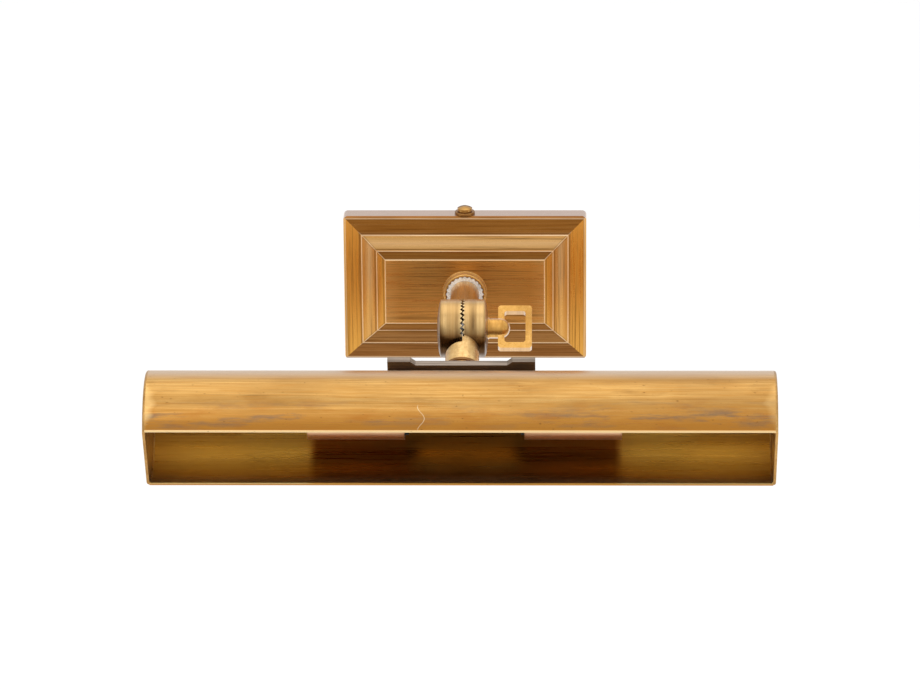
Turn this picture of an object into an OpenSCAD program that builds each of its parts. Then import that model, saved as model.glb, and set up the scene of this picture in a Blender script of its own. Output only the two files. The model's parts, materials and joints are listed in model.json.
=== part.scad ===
// Picture light: a pressed wall plate, a horizontal arm, a toothed knuckle clamped by a
// thumbscrew key, and a long trough shade over two tubular lamps.
// Frame: the wall is the plane y = 0, the light stands out along -y, and +z is up.
// The origin is the centre of the wall plate's back.

/* [Wall plate] */
// Width of the plate
plate_w = 141; // [118:1:200]
// Height of the plate
plate_h = 87.5; // [75:0.5:120]
// Sheet thickness of the plate
plate_t = 1; // [0.8:0.1:1.4]
// Depth of the side wall, up to the outer band
plate_side = 12; // [11.6:0.2:18]
// Radius of the rim between the side wall and the outer band
plate_rim_r = 1.8; // [1:0.1:3]
// Radius of the outline's corners
plate_corner_r = 2.5; // [1.5:0.1:5]
// Width of the outer band
band_w = 11; // [6:0.1:13]
// Rise of the outer band
band_rise = 1.7; // [0.5:0.1:3]
// Radius of the bead between the outer band and the slope
bead_r = 0.6; // [0.3:0.1:1]
// Width of the S-shaped slope
ogee_w = 8.2; // [5:0.1:10]
// Rise of the S-shaped slope
ogee_rise = 2.3; // [1:0.1:4]
// Radius of the two small rounded edges, one on each side of the hollow step
quirk_r = 0.4; // [0.2:0.05:0.8]
// Width of the hollow step around the centre panel
cove_w = 4.7; // [3:0.1:6]
// Rise of the hollow step
cove_rise = 1.2; // [0.5:0.1:2]

/* [Mounting bracket] */
// Distance between the fixing slots
slot_spacing = 83.3; // [70:0.1:90]
// Width of a fixing slot
slot_w = 4.4; // [4:0.1:5]
// End-to-end length of a fixing slot
slot_len = 12; // [8:0.5:14]
// Thickness of the bracket's steel
bracket_t = 1.5; // [1:0.1:2]
// Height of the bracket's cross strip
bracket_h = 24; // [20:1:30]
// Width of the bracket's upright strip
upright_w = 26; // [22:1:30]
// Radius of the hole where the supply enters
supply_r = 6; // [4:0.5:7]

/* [Cap screw] */
// Radius of the collar under the cap screw
collar_r = 5.8; // [5:0.1:6]
// Thickness of the collar
collar_t = 1.6; // [1:0.1:2.5]
// Radius of the cap screw's head
cap_head_r = 4.3; // [3.5:0.1:5]
// Radius of the dome on the cap screw's head
cap_dome_r = 7.5; // [6:0.5:12]
// Height of the cap screw's head
cap_head_h = 3.2; // [2.4:0.1:4]
// Radius of the cap screw's shank
cap_shank_r = 2; // [1.5:0.1:2.5]

/* [Arm] */
// Outer radius of the arm tube
arm_r = 8.25; // [7.5:0.05:9.9]
// Distance from the wall to the knuckle's axis
knuckle_out = 81; // [64:0.5:100]
// Width of the serrated lock ring, around the arm
lock_ring_w = 2.65; // [1.8:0.05:3.5]
// Teeth of the serrated lock ring
lock_ring_teeth = 24; // [16:1:36]
// Depth of the lock ring's teeth
lock_ring_tooth = 0.9; // [0.5:0.1:1.1]
// Wall of the ferrule, around the lock ring
ferrule_wall = 1.2; // [1:0.1:3]
// Height of the ferrule
ferrule_h = 4.4; // [3.5:0.1:6]
// Width by which the ferrule's base stands out
ferrule_base_w = 0.7; // [0.5:0.1:3]
// Height of the ferrule's base
ferrule_base_h = 0.8; // [0.6:0.1:2]
// Wall of the boss that holds the arm's outer end
boss_wall = 1.2; // [1:0.1:2]
// Length of that boss, up to the knuckle's drums
boss_len = 6; // [5.5:0.1:14]
// Outer radius of the threaded nipples
nipple_r = 5; // [4.5:0.1:5]
// Bore radius of the threaded nipples
nipple_bore_r = 3.6; // [3.2:0.1:3.8]

/* [Knuckle] */
// Radius of the knuckle's two drums
knuckle_r = 16.5; // [14:0.1:20]
// Half the knuckle's width
knuckle_half_w = 14.6; // [12:0.1:17]
// Rise of the drums' domed ends
dome_h = 1.6; // [0.8:0.1:2.5]
// Teeth around each drum's face
tooth_count = 36; // [24:2:48]
// Depth of the teeth
tooth_h = 1.3; // [0.5:0.1:1.4]
// Radius of the clamping stud
stud_r = 3; // [2.5:0.1:3.5]
// Thickness of the clamping washer
clamp_washer_t = 1; // [0.6:0.1:1.5]

/* [Key] */
// Radius of the key's shank and ball end
key_r = 5.75; // [5:0.05:6.5]
// Length of the key's shank, to the ball's centre
key_shank_len = 6.2; // [5:0.1:9]
// Width of the key's rectangular ring
key_ring_w = 19.2; // [16:0.1:24]
// Height of the key's rectangular ring
key_ring_h = 27; // [22:0.1:34]
// Width of the ring's bars
key_bar = 3.6; // [3:0.1:4.5]
// Thickness of the ring
key_ring_t = 4.6; // [3.5:0.1:6]
// Corner radius of the ring
key_corner_r = 1.7; // [1:0.1:2.5]
// Lean of the ring, back from upright
key_lean = 47; // [0:1:90]

/* [Neck and saddle] */
// Slope of the neck below the horizontal
neck_angle = 28; // [15:1:40]
// Radius of the neck
neck_r = 9.6; // [8.6:0.1:12.6]
// Length of the neck's root past the drum
neck_root = 14.5; // [10:0.5:20]
// Radial room between the neck's shoulder and the drum beside it
neck_shoulder_gap = 4.5; // [0.8:0.1:5]
// Thickness of the ring around the neck
neck_ring_t = 1.6; // [1:0.1:2.5]
// Length of the socket between that ring and the saddle plate
socket_len = 7.4; // [5:0.1:20]
// Width by which the socket flares out at its foot
socket_flare = 1.8; // [0.5:0.1:3]
// Length of the saddle plate
saddle_len = 83; // [66:1:110]
// Width of the saddle plate's end tabs
saddle_w = 40; // [34:1:46]
// Width of the saddle plate's waist
saddle_waist_w = 34; // [28:1:40]
// Length of each end tab
saddle_tab = 12.8; // [9:0.1:18]
// Thickness of the saddle plate
saddle_t = 3.5; // [2.5:0.1:4.5]
// Depth to which the shade sits in the saddle plate
seat_depth = 0.5; // [0.3:0.1:1]
// Distance of the saddle screws from the middle
saddle_screw_x = 22; // [18:0.5:24]

/* [Shade] */
// Length of the shade, over its end caps
shade_len = 352; // [295:0.5:500]
// Outer radius of the shade
shade_r = 32; // [29.5:0.5:38.5]
// Sheet thickness of the shade
shade_t = 0.9; // [0.6:0.1:1.2]
// Half of the angle that the shade leaves open
opening_half_angle = 45.5; // [35:0.5:48]
// Radius of the beads along the shade's two lips
lip_r = 0.85; // [0.6:0.05:1.2]
// Thickness of the end caps
cap_t = 1.5; // [1:0.1:2]
// Radius of the end caps' rims
cap_rim_r = 1.3; // [0.5:0.1:1.8]

/* [Lampholders and lamps] */
// Distance of the lamps' axis from the shade's axis, towards the saddle
lamp_shift = 9; // [7:0.5:9.5]
// Distance of the lampholders' middle to the right of the shade's middle
lamp_offset = 2; // [-3:0.1:3]
// Distance from the lampholders' middle to the start of each sleeve
sleeve_start = 33.5; // [32:0.5:38]
// Length of each lampholder sleeve
sleeve_len = 54.5; // [44:0.5:66]
// Outer radius of the lampholder sleeves
sleeve_r = 13.5; // [12.4:0.1:14.5]
// Wall of the lampholder sleeves
sleeve_t = 0.5; // [0.4:0.1:0.8]
// Radius of the lamps' glass
glass_r = 9; // [8:0.1:10]
// Length of the lamps over all
lamp_len = 85; // [70:1:100]
// Radius of the lamps' screw base
base_r = 6.8; // [6.5:0.1:7]
// Length of the lamps' screw base
base_len = 22; // [18:0.5:24]

/* [Wiring] */
// Radius of an insulated wire
wire_r = 0.8; // [0.6:0.1:0.9]

/* [Hidden] */
$fn = 96;

// Clearances
fit = 0.05;          // round fits between pieces that screw or plug together
loose = 0.3;         // holes that a piece passes through freely
over = 1;            // how far a cutting shape runs past what it cuts

// Wall plate and bracket
slope_start = plate_side + band_rise + bead_r;
cove_start = slope_start + ogee_rise + quirk_r;
plate_depth = cove_start + cove_rise + quirk_r;
screw_out = plate_side / 2;
tab_top = plate_h / 2 - plate_t - loose;
tab_t = 1.8;
tab_out = plate_side - plate_rim_r - plate_t;
tab_half_w = 9;
tongue_half_w = 4.5;
tongue_out = 4;
bracket_len = slot_spacing + slot_len + 9;

// Terminal block and earth screw, on the bracket
block_w = 16;
block_h = 18;
block_d = 10.5;
block_x = -26;       // middle of the block
pole_y = 4.5;        // distance of each pole from the block's middle
pole_screw_r = 1.8;
block_wire_out = bracket_t + 5;
earth_x = 26;
earth_r = 2;

// Arm
panel_back = plate_depth - plate_t;
washer_r = 15;
washer_t = 1.5;
nut_af_r = 9;
nut_h = 4;
recess_depth = 1.5;
lock_ring_r = arm_r + lock_ring_w;
ferrule_r = lock_ring_r + ferrule_wall;
ferrule_base_r = ferrule_r + ferrule_base_w;
arm_start = plate_depth + ferrule_h - recess_depth;
arm_nipple_start = panel_back - washer_t - nut_h - 1.5;
arm_nipple_end = arm_start + 14;
lock_ring_t = 1.9;
boss_r = arm_r + boss_wall;
boss_start = knuckle_out - knuckle_r - boss_len;
arm_end = knuckle_out - knuckle_r - 1.5;
wire_hole_r = 3;

// Knuckle
tooth_gap = 0.1;     // each tooth's tip stops this far short of the middle plane
drum_gap = 0.8;      // radial room between the arm's boss and the drum beside it
cavity_in_r = stud_r + 2;
cavity_out_r = knuckle_r - 5.5;
cavity_depth = 7;
seat_x = knuckle_half_w - 0.6;
seat_r = key_r + 0.75;
stud_start = 3 - knuckle_half_w;
key_start = seat_x + clamp_washer_t;
ball_x = key_start + key_shank_len;
stud_end = ball_x - 1;
ring_x = ball_x - 1.1;

// Neck, saddle and shade, measured along the neck from the knuckle's axis
neck_root_end = knuckle_r + neck_root;
neck_nipple_start = neck_root_end - 8;
saddle_in = neck_root_end + neck_ring_t + socket_len;
head_reach = saddle_in + saddle_t - seat_depth + shade_r;   // as far as the shade's axis
strap_t = 1.2;
strap_half_w = 8;
strap_in = head_reach - sqrt(pow(shade_r - shade_t, 2) - pow(strap_half_w, 2)) + fit;
neck_nipple_end = strap_in + strap_t + nut_h + 1;
saddle_screw_r = 2;
saddle_head_r = 3.6;
saddle_head_h = 2.2;
opening_plane = shade_r * cos(opening_half_angle);

// Lampholders, measured from the middle along the shade
lamp_z = head_reach - lamp_shift;
ear_out = sleeve_start - 2;
core_r = sleeve_r - sleeve_t - 2 * fit;
core_len = 26;
core_floor = 9;
shell_r = base_r + 0.9;
shell_t = 0.4;
shell_start = ear_out + core_floor;
contact_t = 0.5;
contact_rise = 3.5;
lamp_start = shell_start + contact_t + contact_rise;
glass_start = lamp_start + base_len - 4;
glass_t = 0.8;
lamp_end = lamp_start + lamp_len;

// Turns a piece's own z axis to point out of the wall, with its y axis up
module out(distance = 0) {
    translate([0, -distance, 0]) rotate([90, 0, 0]) children();
}

// Turns a piece's own z axis to point along the neck, from the knuckle's axis
module head() {
    translate([0, -knuckle_out, 0]) rotate([90 + neck_angle, 0, 0]) children();
}

// A piece at the lamps' axis, with its own x axis outwards on the side s
module lamp_side(s) {
    head() translate([lamp_offset, 0, lamp_z]) side(s) children();
}

// A round bar along x, from a to b
module bar_x(r, a, b) {
    translate([a, 0, 0]) rotate([0, 90, 0]) cylinder(r = r, h = b - a);
}

// Spins an outline drawn as (distance along x, radius) around the x axis
module turned_x() {
    rotate([0, 90, 0]) rotate_extrude() rotate([0, 0, 90]) mirror([0, 1, 0]) children();
}

// The right-hand piece, or its mirror image on the left
module side(s) {
    mirror([s < 0 ? 1 : 0, 0, 0]) children();
}

module rounded_rect(w, h, r) {
    square([w - 2 * r, h], center = true);
    square([w, h - 2 * r], center = true);
    for (x = [-1, 1], y = [-1, 1]) translate([x * (w / 2 - r), y * (h / 2 - r)]) circle(r);
}

module slot(len, w) {
    square([len - w, w], center = true);
    for (x = [-1, 1]) translate([x * (len - w) / 2, 0]) circle(d = w);
}

// The driver slot across a screw's head, from its floor upwards
module screw_slot(head_r, floor_z, w = 1) {
    translate([-head_r - over, -w / 2, floor_z]) cube([2 * (head_r + over), w, 2 * over]);
}

module tube(r, bore, a, b) {
    translate([0, 0, a]) difference() {
        cylinder(r = r, h = b - a);
        translate([0, 0, -over]) cylinder(r = bore, h = b - a + 2 * over);
    }
}

function arc(c, r, a0, a1, n = 6) =
    [for (i = [0 : n]) let (a = a0 + (a1 - a0) * i / n) c + r * [cos(a), sin(a)]];
function unit(v) = v / norm(v);
function bezier(a, b, c, d, n = 10) = [for (i = [0 : n]) let (t = i / n, u = 1 - t)
    u * u * u * a + 3 * u * u * t * b + 3 * u * t * t * c + t * t * t * d];

// A round wire swept along points; flat is the direction that its route never follows
module wire(points, flat, r = wire_r, sides = 8) {
    last = len(points) - 1;
    rings = [for (i = [0 : last])
        let (t = unit(points[min(i + 1, last)] - points[max(i - 1, 0)]),
             u = unit(cross(flat, t)), v = cross(t, u))
        for (k = [0 : sides - 1]) points[i] + r * (cos(360 * k / sides) * u + sin(360 * k / sides) * v)];
    walls = [for (i = [0 : last - 1], k = [0 : sides - 1]) let (n = (k + 1) % sides)
        [i * sides + k, (i + 1) * sides + k, (i + 1) * sides + n, i * sides + n]];
    ends = [[for (k = [0 : sides - 1]) k], [for (k = [sides - 1 : -1 : 0]) last * sides + k]];
    polyhedron(rings, concat(walls, ends), convexity = 4);
}

// Height of the pressed steps against the distance in from the plate's edge
function plate_steps() = concat(
    [[0, 0]],
    arc([plate_rim_r, plate_side - plate_rim_r], plate_rim_r, 180, 90, 6),
    arc([band_w, slope_start - bead_r], bead_r, 180, 90, 4),
    [for (i = [1 : 10]) [band_w + ogee_w * i / 10, slope_start + ogee_rise * (1 - cos(18 * i)) / 2]],
    arc([band_w + ogee_w + quirk_r, cove_start - quirk_r], quirk_r, 180, 90, 3),
    [for (i = [1 : 6]) [band_w + ogee_w + quirk_r + cove_w * i / 6,
        cove_start + cove_rise * (1 - cos(15 * i))]],
    arc([band_w + ogee_w + cove_w + 2 * quirk_r, plate_depth - quirk_r], quirk_r, 180, 90, 3));

module plate_section(w) {
    steps = plate_steps();
    last = len(steps) - 1;
    polygon(concat([for (p = steps) [p.x - w / 2, p.y]],
        [for (i = [last : -1 : 0]) [w / 2 - steps[i].x, steps[i].y]]));
}

// The steps mitre at the corners, because the solid is the common part of two extrusions
module plate_block(w, h, corner_r) {
    intersection() {
        rotate([90, 0, 0]) linear_extrude(h + over, center = true) plate_section(w);
        rotate([90, 0, 90]) linear_extrude(w + over, center = true) plate_section(h);
        linear_extrude(plate_depth + over) rounded_rect(w, h, corner_r);
    }
}

module wall_plate() {
    color("#a9762f") out() difference() {
        plate_block(plate_w, plate_h, plate_corner_r);
        translate([0, 0, -plate_t])
            plate_block(plate_w - 2 * plate_t, plate_h - 2 * plate_t, plate_corner_r - plate_t);
        cylinder(r = nipple_r + loose, h = plate_depth + over);
        translate([0, plate_h / 2 + over, screw_out]) rotate([90, 0, 0])
            cylinder(r = cap_shank_r + loose, h = plate_t + 2 * over);
        translate([-tongue_half_w - loose, -plate_h / 2 - over, tongue_out - loose])
            cube([2 * (tongue_half_w + loose), plate_t + 2 * over, bracket_t + 2 * loose]);
    }
}

module mounting_bracket() {
    color("#b9bcc0") out() difference() {
        union() {
            linear_extrude(bracket_t) rounded_rect(bracket_len, bracket_h, 3);
            translate([-upright_w / 2, -tab_top, 0]) cube([upright_w, 2 * tab_top, bracket_t]);
            translate([-tab_half_w, tab_top - tab_t, 0]) cube([2 * tab_half_w, tab_t, tab_out]);
            translate([-tab_half_w, -tab_top, 0]) cube([2 * tab_half_w, tab_t, tab_out]);
            translate([-tongue_half_w, -plate_h / 2 - 0.4, tongue_out])
                cube([2 * tongue_half_w, plate_h / 2 - tab_top + tab_t, bracket_t]);
        }
        for (x = [-1, 1]) translate([x * slot_spacing / 2, 0, -over])
            linear_extrude(bracket_t + 2 * over) slot(slot_len, slot_w);
        translate([0, 0, -over]) cylinder(r = supply_r, h = bracket_t + 2 * over);
        translate([earth_x, 0, -over]) cylinder(r = earth_r + fit, h = bracket_t + 2 * over);
        translate([0, tab_top + over, screw_out]) rotate([90, 0, 0])
            cylinder(r = cap_shank_r + fit, h = tab_t + 2 * over);
    }
}

module cap_screw() {
    undercut = 0.5;
    shank_len = 9;
    slot_depth = 1.4;
    color("#a9762f") out() translate([0, plate_h / 2 + collar_t, screw_out]) rotate([-90, 0, 0])
        difference() {
            union() {
                cylinder(r = cap_head_r - undercut, h = undercut);
                translate([0, 0, undercut]) intersection() {
                    cylinder(r = cap_head_r, h = cap_head_h - undercut);
                    translate([0, 0, cap_head_h - undercut - cap_dome_r]) sphere(r = cap_dome_r);
                }
                translate([0, 0, -collar_t - shank_len]) cylinder(r = cap_shank_r, h = collar_t + shank_len + undercut);
            }
            screw_slot(cap_head_r, cap_head_h - slot_depth);
        }
}

module cap_collar() {
    rim = 0.5;
    color("#8a5c22") out() translate([0, plate_h / 2, screw_out]) rotate([-90, 0, 0]) rotate_extrude()
        polygon(concat([[cap_shank_r + fit, 0], [collar_r, 0]],
            arc([collar_r - rim, collar_t - rim], rim, 0, 90, 4), [[cap_shank_r + fit, collar_t]]));
}

module arm_ferrule() {
    rim = 0.8;
    color("#b5822f") out(plate_depth) rotate_extrude() polygon(concat(
        [[nipple_r + fit, 0], [ferrule_base_r, 0]],
        arc([ferrule_base_r - ferrule_base_h / 2, ferrule_base_h / 2], ferrule_base_h / 2, 0, 90, 4),
        [[ferrule_r, ferrule_base_h]],
        arc([ferrule_r - rim, ferrule_h - rim], rim, 0, 90, 4),
        [[lock_ring_r + fit, ferrule_h], [lock_ring_r + fit, ferrule_h - recess_depth],
         [nipple_r + fit, ferrule_h - recess_depth]]));
}

module arm_lock_ring() {
    steps = 2 * lock_ring_teeth;
    color("#c9c6bd") out(arm_start) linear_extrude(lock_ring_t) difference() {
        polygon([for (i = [0 : steps - 1])
            (lock_ring_r - lock_ring_tooth * (i % 2)) * [cos(360 * i / steps), sin(360 * i / steps)]]);
        circle(arm_r + fit);
    }
}

module arm_nipple() {
    color("#c2a35a") out() tube(nipple_r, nipple_bore_r, arm_nipple_start, arm_nipple_end);
}

module arm_washer() {
    color("#b9bcc0") out() tube(washer_r, nipple_r + fit, panel_back - washer_t, panel_back);
}

module hex_nut(a) {
    translate([0, 0, a]) difference() {
        cylinder(r = nut_af_r, h = nut_h, $fn = 6);
        translate([0, 0, -over]) cylinder(r = nipple_r + fit, h = nut_h + 2 * over);
    }
}

module arm_nut() {
    color("#c2a35a") out() hex_nut(panel_back - washer_t - nut_h);
}

module arm_tube() {
    color("#8f6530") out() difference() {
        translate([0, 0, arm_start]) cylinder(r = arm_r, h = arm_end - arm_start);
        translate([0, 0, arm_start - over])
            cylinder(r = nipple_r + fit, h = arm_nipple_end - arm_start + over + fit);
        translate([0, 0, arm_start]) cylinder(r = nipple_bore_r, h = arm_end - arm_start + over);
    }
}

// One drum of the knuckle, on the side x > 0, with its teeth facing the middle plane
module drum(seat) {
    rim = 1.2;
    shoulder = knuckle_half_w - dome_h;
    inner_r = seat ? seat_r : 0;
    turned_x() polygon(concat([[tooth_gap, 0], [tooth_gap, knuckle_r]],
        arc([shoulder - rim, knuckle_r - rim], rim, 90, 20, 5),
        [for (i = [1 : 8]) let (r = knuckle_r - rim - (knuckle_r - rim - inner_r) * i / 8)
            [knuckle_half_w - dome_h * pow(r / knuckle_r, 2), r]],
        seat ? [[seat_x, seat_r], [seat_x, 0]] : []));
}

// Grooves across a drum's face leave teeth around its edge; shift turns them by part of a pitch
module tooth_grooves(shift) {
    pitch = 360 / tooth_count;
    half_w = PI * knuckle_r / tooth_count * 0.95;
    for (i = [0 : tooth_count / 2 - 1]) rotate([(i + shift) * pitch, 0, 0])
        translate([tooth_gap, 0, -knuckle_r - over]) linear_extrude(2 * (knuckle_r + over))
            polygon([[-over, -half_w], [0, -half_w], [tooth_h, 0], [0, half_w], [-over, half_w]]);
}

// Room for the wires around the stud
module wire_cavity() {
    difference() {
        bar_x(cavity_out_r, -over, cavity_depth);
        bar_x(cavity_in_r, -2 * over, cavity_depth + over);
    }
    bar_x(cavity_in_r + over, -over, tooth_h + tooth_gap);
}

module fixed_knuckle_half() {
    color("#b07c2e") out(knuckle_out) difference() {
        union() {
            mirror([1, 0, 0]) drum(false);
            difference() {
                translate([0, 0, boss_start - knuckle_out]) cylinder(r = boss_r, h = knuckle_out - boss_start);
                bar_x(knuckle_r + drum_gap, -tooth_gap, boss_r + over);
                bar_x(knuckle_r - over, -boss_r - over, over);
            }
        }
        mirror([1, 0, 0]) tooth_grooves(0);
        mirror([1, 0, 0]) wire_cavity();
        bar_x(stud_r + fit, stud_start - fit, over);
        translate([0, 0, boss_start - knuckle_out - over])
            cylinder(r = arm_r + fit, h = arm_end - boss_start + over + fit);
        translate([-wire_hole_r - tooth_h, 0, boss_start - knuckle_out])
            cylinder(r = wire_hole_r, h = knuckle_out - boss_start - cavity_in_r - 2);
    }
}

module terminal_block() {
    color("#e8e4d8") out() difference() {
        translate([block_x - block_w / 2, -block_h / 2, bracket_t]) cube([block_w, block_h, block_d]);
        for (y = [-1, 1]) translate([0, y * pole_y, block_wire_out]) bar_x(1.7, block_x - block_w, block_x + block_w);
        for (x = [-1, 1], y = [-1, 1]) translate([block_x + x * block_w / 4, y * pole_y, block_wire_out])
            cylinder(r = pole_screw_r + 2 * fit, h = block_d);
    }
}

module terminal_screws() {
    color("#c2a35a") out() for (x = [-1, 1], y = [-1, 1])
        translate([block_x + x * block_w / 4, y * pole_y, block_wire_out + wire_r]) difference() {
            cylinder(r = pole_screw_r, h = 3.4);
            screw_slot(pole_screw_r, 2.8, 0.6);
        }
}

module earth_screw() {
    head_r = 4;
    head_h = 2.4;
    color("#c2a35a") out() translate([earth_x, 0, 0]) difference() {
        union() {
            translate([0, 0, 0.1]) cylinder(r = earth_r, h = bracket_t);
            translate([0, 0, bracket_t]) cylinder(r = head_r, h = head_h);
        }
        screw_slot(head_r, bracket_t + head_h - 1);
    }
}

module arm_wires() {
    spread = 1.2;
    color("#e9dfc4") out() for (s = [-1, 1])
        wire(concat(bezier([block_x + block_w / 2 - 4, s * pole_y, block_wire_out],
                [block_x + block_w / 2 + 8, s * pole_y, block_wire_out],
                [0, s * spread, bracket_t + 0.5], [0, s * spread, arm_nipple_start + 4]),
            [[0, s * spread, arm_nipple_end], [0, s * spread, arm_end - 4]]), [0, 1, 0]);
}

module clamp_washer() {
    color("#a9762f") translate([0, -knuckle_out, 0]) difference() {
        bar_x(seat_r - loose, seat_x, seat_x + clamp_washer_t);
        bar_x(stud_r + loose, seat_x - over, seat_x + clamp_washer_t + over);
    }
}

module clamp_key() {
    color("#b9872f") translate([0, -knuckle_out, 0]) difference() {
        union() {
            bar_x(key_r, key_start, ball_x);
            translate([ball_x, 0, 0]) sphere(r = key_r);
            rotate([-key_lean, 0, 0]) translate([ring_x + key_ring_w / 2, 0, 0])
                rotate([90, 0, 0]) linear_extrude(key_ring_t, center = true) difference() {
                    rounded_rect(key_ring_w, key_ring_h, key_corner_r);
                    rounded_rect(key_ring_w - 2 * key_bar, key_ring_h - 2 * key_bar, key_corner_r);
                }
        }
        bar_x(stud_r + fit, key_start - over, stud_end + fit);
    }
}

module clamp_stud() {
    color("#b9bcc0") translate([0, -knuckle_out, 0]) bar_x(stud_r, stud_start, stud_end);
}

module moving_knuckle_half() {
    color("#b07c2e") head() difference() {
        union() {
            drum(true);
            difference() {
                cylinder(r = neck_r, h = neck_root_end);
                bar_x(knuckle_r + neck_shoulder_gap, -neck_r - over, tooth_gap);
                bar_x(knuckle_r - over, -over, neck_r + over);
            }
        }
        tooth_grooves(0.5);
        wire_cavity();
        bar_x(stud_r + loose + 0.1, -over, knuckle_half_w + over);
        translate([0, 0, neck_nipple_start]) cylinder(r = nipple_r + fit, h = neck_root_end);
        translate([wire_hole_r + tooth_h, 0, cavity_in_r + 2]) cylinder(r = wire_hole_r, h = neck_nipple_start);
    }
}

module neck_ring() {
    color("#5c3d1a") head() tube(neck_r + 0.7, nipple_r + fit, neck_root_end, neck_root_end + neck_ring_t);
}

module neck_socket() {
    start = neck_root_end + neck_ring_t;
    straight = start + (saddle_in - start) * 0.45;
    foot = saddle_in - 1.6;
    color("#a9762f") head() rotate_extrude() polygon(concat(
        [[nipple_r + fit, start], [neck_r, start], [neck_r, straight]],
        [for (i = [1 : 6]) [neck_r + socket_flare * (1 - cos(15 * i)), straight + (foot - straight) * sin(15 * i)]],
        [[neck_r + socket_flare, saddle_in], [nipple_r + fit, saddle_in]]));
}

module neck_nipple() {
    color("#c2a35a") head() tube(nipple_r, nipple_bore_r, neck_nipple_start, neck_nipple_end);
}

module neck_nut() {
    color("#c2a35a") head() hex_nut(strap_in + strap_t);
}

// The saddle's outline: square tabs at both ends, with chamfers down to a narrower waist
function saddle_outline() =
    let (tab_x = saddle_len / 2 - saddle_tab, waist_x = tab_x - (saddle_w - saddle_waist_w) / 2,
         quarter = [[waist_x, saddle_waist_w / 2], [tab_x, saddle_w / 2], [saddle_len / 2, saddle_w / 2]])
    concat([for (p = quarter) p], [for (i = [2 : -1 : 0]) [quarter[i].x, -quarter[i].y]],
        [for (p = quarter) -p], [for (i = [2 : -1 : 0]) [-quarter[i].x, quarter[i].y]]);

module saddle_plate() {
    color("#4d3a26") head() difference() {
        translate([0, 0, saddle_in]) linear_extrude(saddle_t) polygon(saddle_outline());
        translate([0, 0, head_reach]) bar_x(shade_r + fit, -saddle_len, saddle_len);
        translate([0, 0, saddle_in - over]) cylinder(r = nipple_r + loose, h = saddle_t + 2 * over);
        for (s = [-1, 1]) translate([s * saddle_screw_x, 0, saddle_in + 0.8])
            cylinder(r = saddle_screw_r + fit, h = saddle_t + over);
    }
}

module saddle_screws() {
    head_z = strap_in + strap_t;
    color("#b9bcc0") head() for (s = [-1, 1]) translate([s * saddle_screw_x, 0, 0]) difference() {
        union() {
            translate([0, 0, saddle_in + 1]) cylinder(r = saddle_screw_r, h = head_z - saddle_in - 1);
            translate([0, 0, head_z]) cylinder(r = saddle_head_r, h = saddle_head_h);
        }
        screw_slot(saddle_head_r, head_z + saddle_head_h - 1);
    }
}

module shade_body() {
    half = shade_len / 2 - cap_t;
    reach = 2 * shade_r;
    lip_mid = shade_r - shade_t / 2;
    color("#b5792e") head() difference() {
        union() {
            translate([0, 0, head_reach]) difference() {
                bar_x(shade_r, -half, half);
                bar_x(shade_r - shade_t, -half - over, half + over);
                rotate([90, 0, 90]) linear_extrude(2 * half + 2 * over, center = true)
                    polygon([[0, 0], reach * [sin(opening_half_angle), cos(opening_half_angle)],
                        [0, 2 * reach], reach * [-sin(opening_half_angle), cos(opening_half_angle)]]);
            }
            for (s = [-1, 1]) translate([0, s * lip_mid * sin(opening_half_angle),
                    head_reach + lip_mid * cos(opening_half_angle)]) bar_x(lip_r, -half, half);
        }
        translate([0, 0, saddle_in]) cylinder(r = nipple_r + loose, h = shade_r);
        for (s = [-1, 1]) translate([s * saddle_screw_x, 0, saddle_in])
            cylinder(r = saddle_screw_r + loose, h = shade_r);
    }
}

// An end cap is a disc with a rounded rim, cut off level with the shade's two lips
module end_cap(s) {
    start = shade_len / 2 - cap_t;
    color("#b5792e") head() side(s) translate([0, 0, head_reach]) difference() {
        turned_x() polygon(concat([[start, 0], [start, shade_r]],
            arc([start + cap_t - cap_rim_r, shade_r - cap_rim_r], cap_rim_r, 90, 0, 5),
            [[start + cap_t, 0]]));
        translate([start - over, -shade_r - over, opening_plane])
            cube([cap_t + 2 * over, 2 * (shade_r + over), shade_r]);
    }
}

// A strap that lies in the shade, with an ear at each end for a lampholder
module lampholder_bracket() {
    ear_r = 9.5;
    color("#b9bcc0") head() difference() {
        union() {
            translate([lamp_offset - ear_out, -strap_half_w, strap_in])
                cube([2 * ear_out, 2 * strap_half_w, strap_t]);
            for (s = [-1, 1]) translate([lamp_offset, 0, 0]) side(s) {
                translate([ear_out - strap_t, -strap_half_w, strap_in])
                    cube([strap_t, 2 * strap_half_w, lamp_z - strap_in]);
                translate([0, 0, lamp_z]) bar_x(ear_r, ear_out - strap_t, ear_out);
            }
        }
        translate([0, 0, strap_in - over]) cylinder(r = nipple_r + loose, h = strap_t + 2 * over);
        for (s = [-1, 1]) translate([s * saddle_screw_x, 0, strap_in - over])
            cylinder(r = saddle_screw_r + loose, h = strap_t + 2 * over);
        translate([lamp_offset, 0, lamp_z]) bar_x(nipple_r + fit, -ear_out - over, ear_out + over);
    }
}

module lampholder_nipples() {
    color("#c2a35a") for (s = [-1, 1]) lamp_side(s) difference() {
        bar_x(nipple_r, ear_out - 6.5, ear_out + 6);
        bar_x(nipple_bore_r, ear_out - 8, ear_out + 8);
    }
}

module lampholder_nuts() {
    nut_x = ear_out - strap_t - nut_h;
    color("#c2a35a") for (s = [-1, 1]) lamp_side(s) rotate([0, 90, 0]) hex_nut(nut_x);
}

module lampholder_core(s) {
    color("#26221f") lamp_side(s) difference() {
        union() {
            bar_x(core_r - 2, ear_out, sleeve_start);
            bar_x(core_r, sleeve_start, ear_out + core_len);
        }
        bar_x(shell_r + shell_t + fit, shell_start, ear_out + core_len + over);
        bar_x(nipple_r + fit, ear_out - over, ear_out + 6);
        bar_x(nipple_bore_r, ear_out, shell_start - 1);
    }
}

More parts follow.
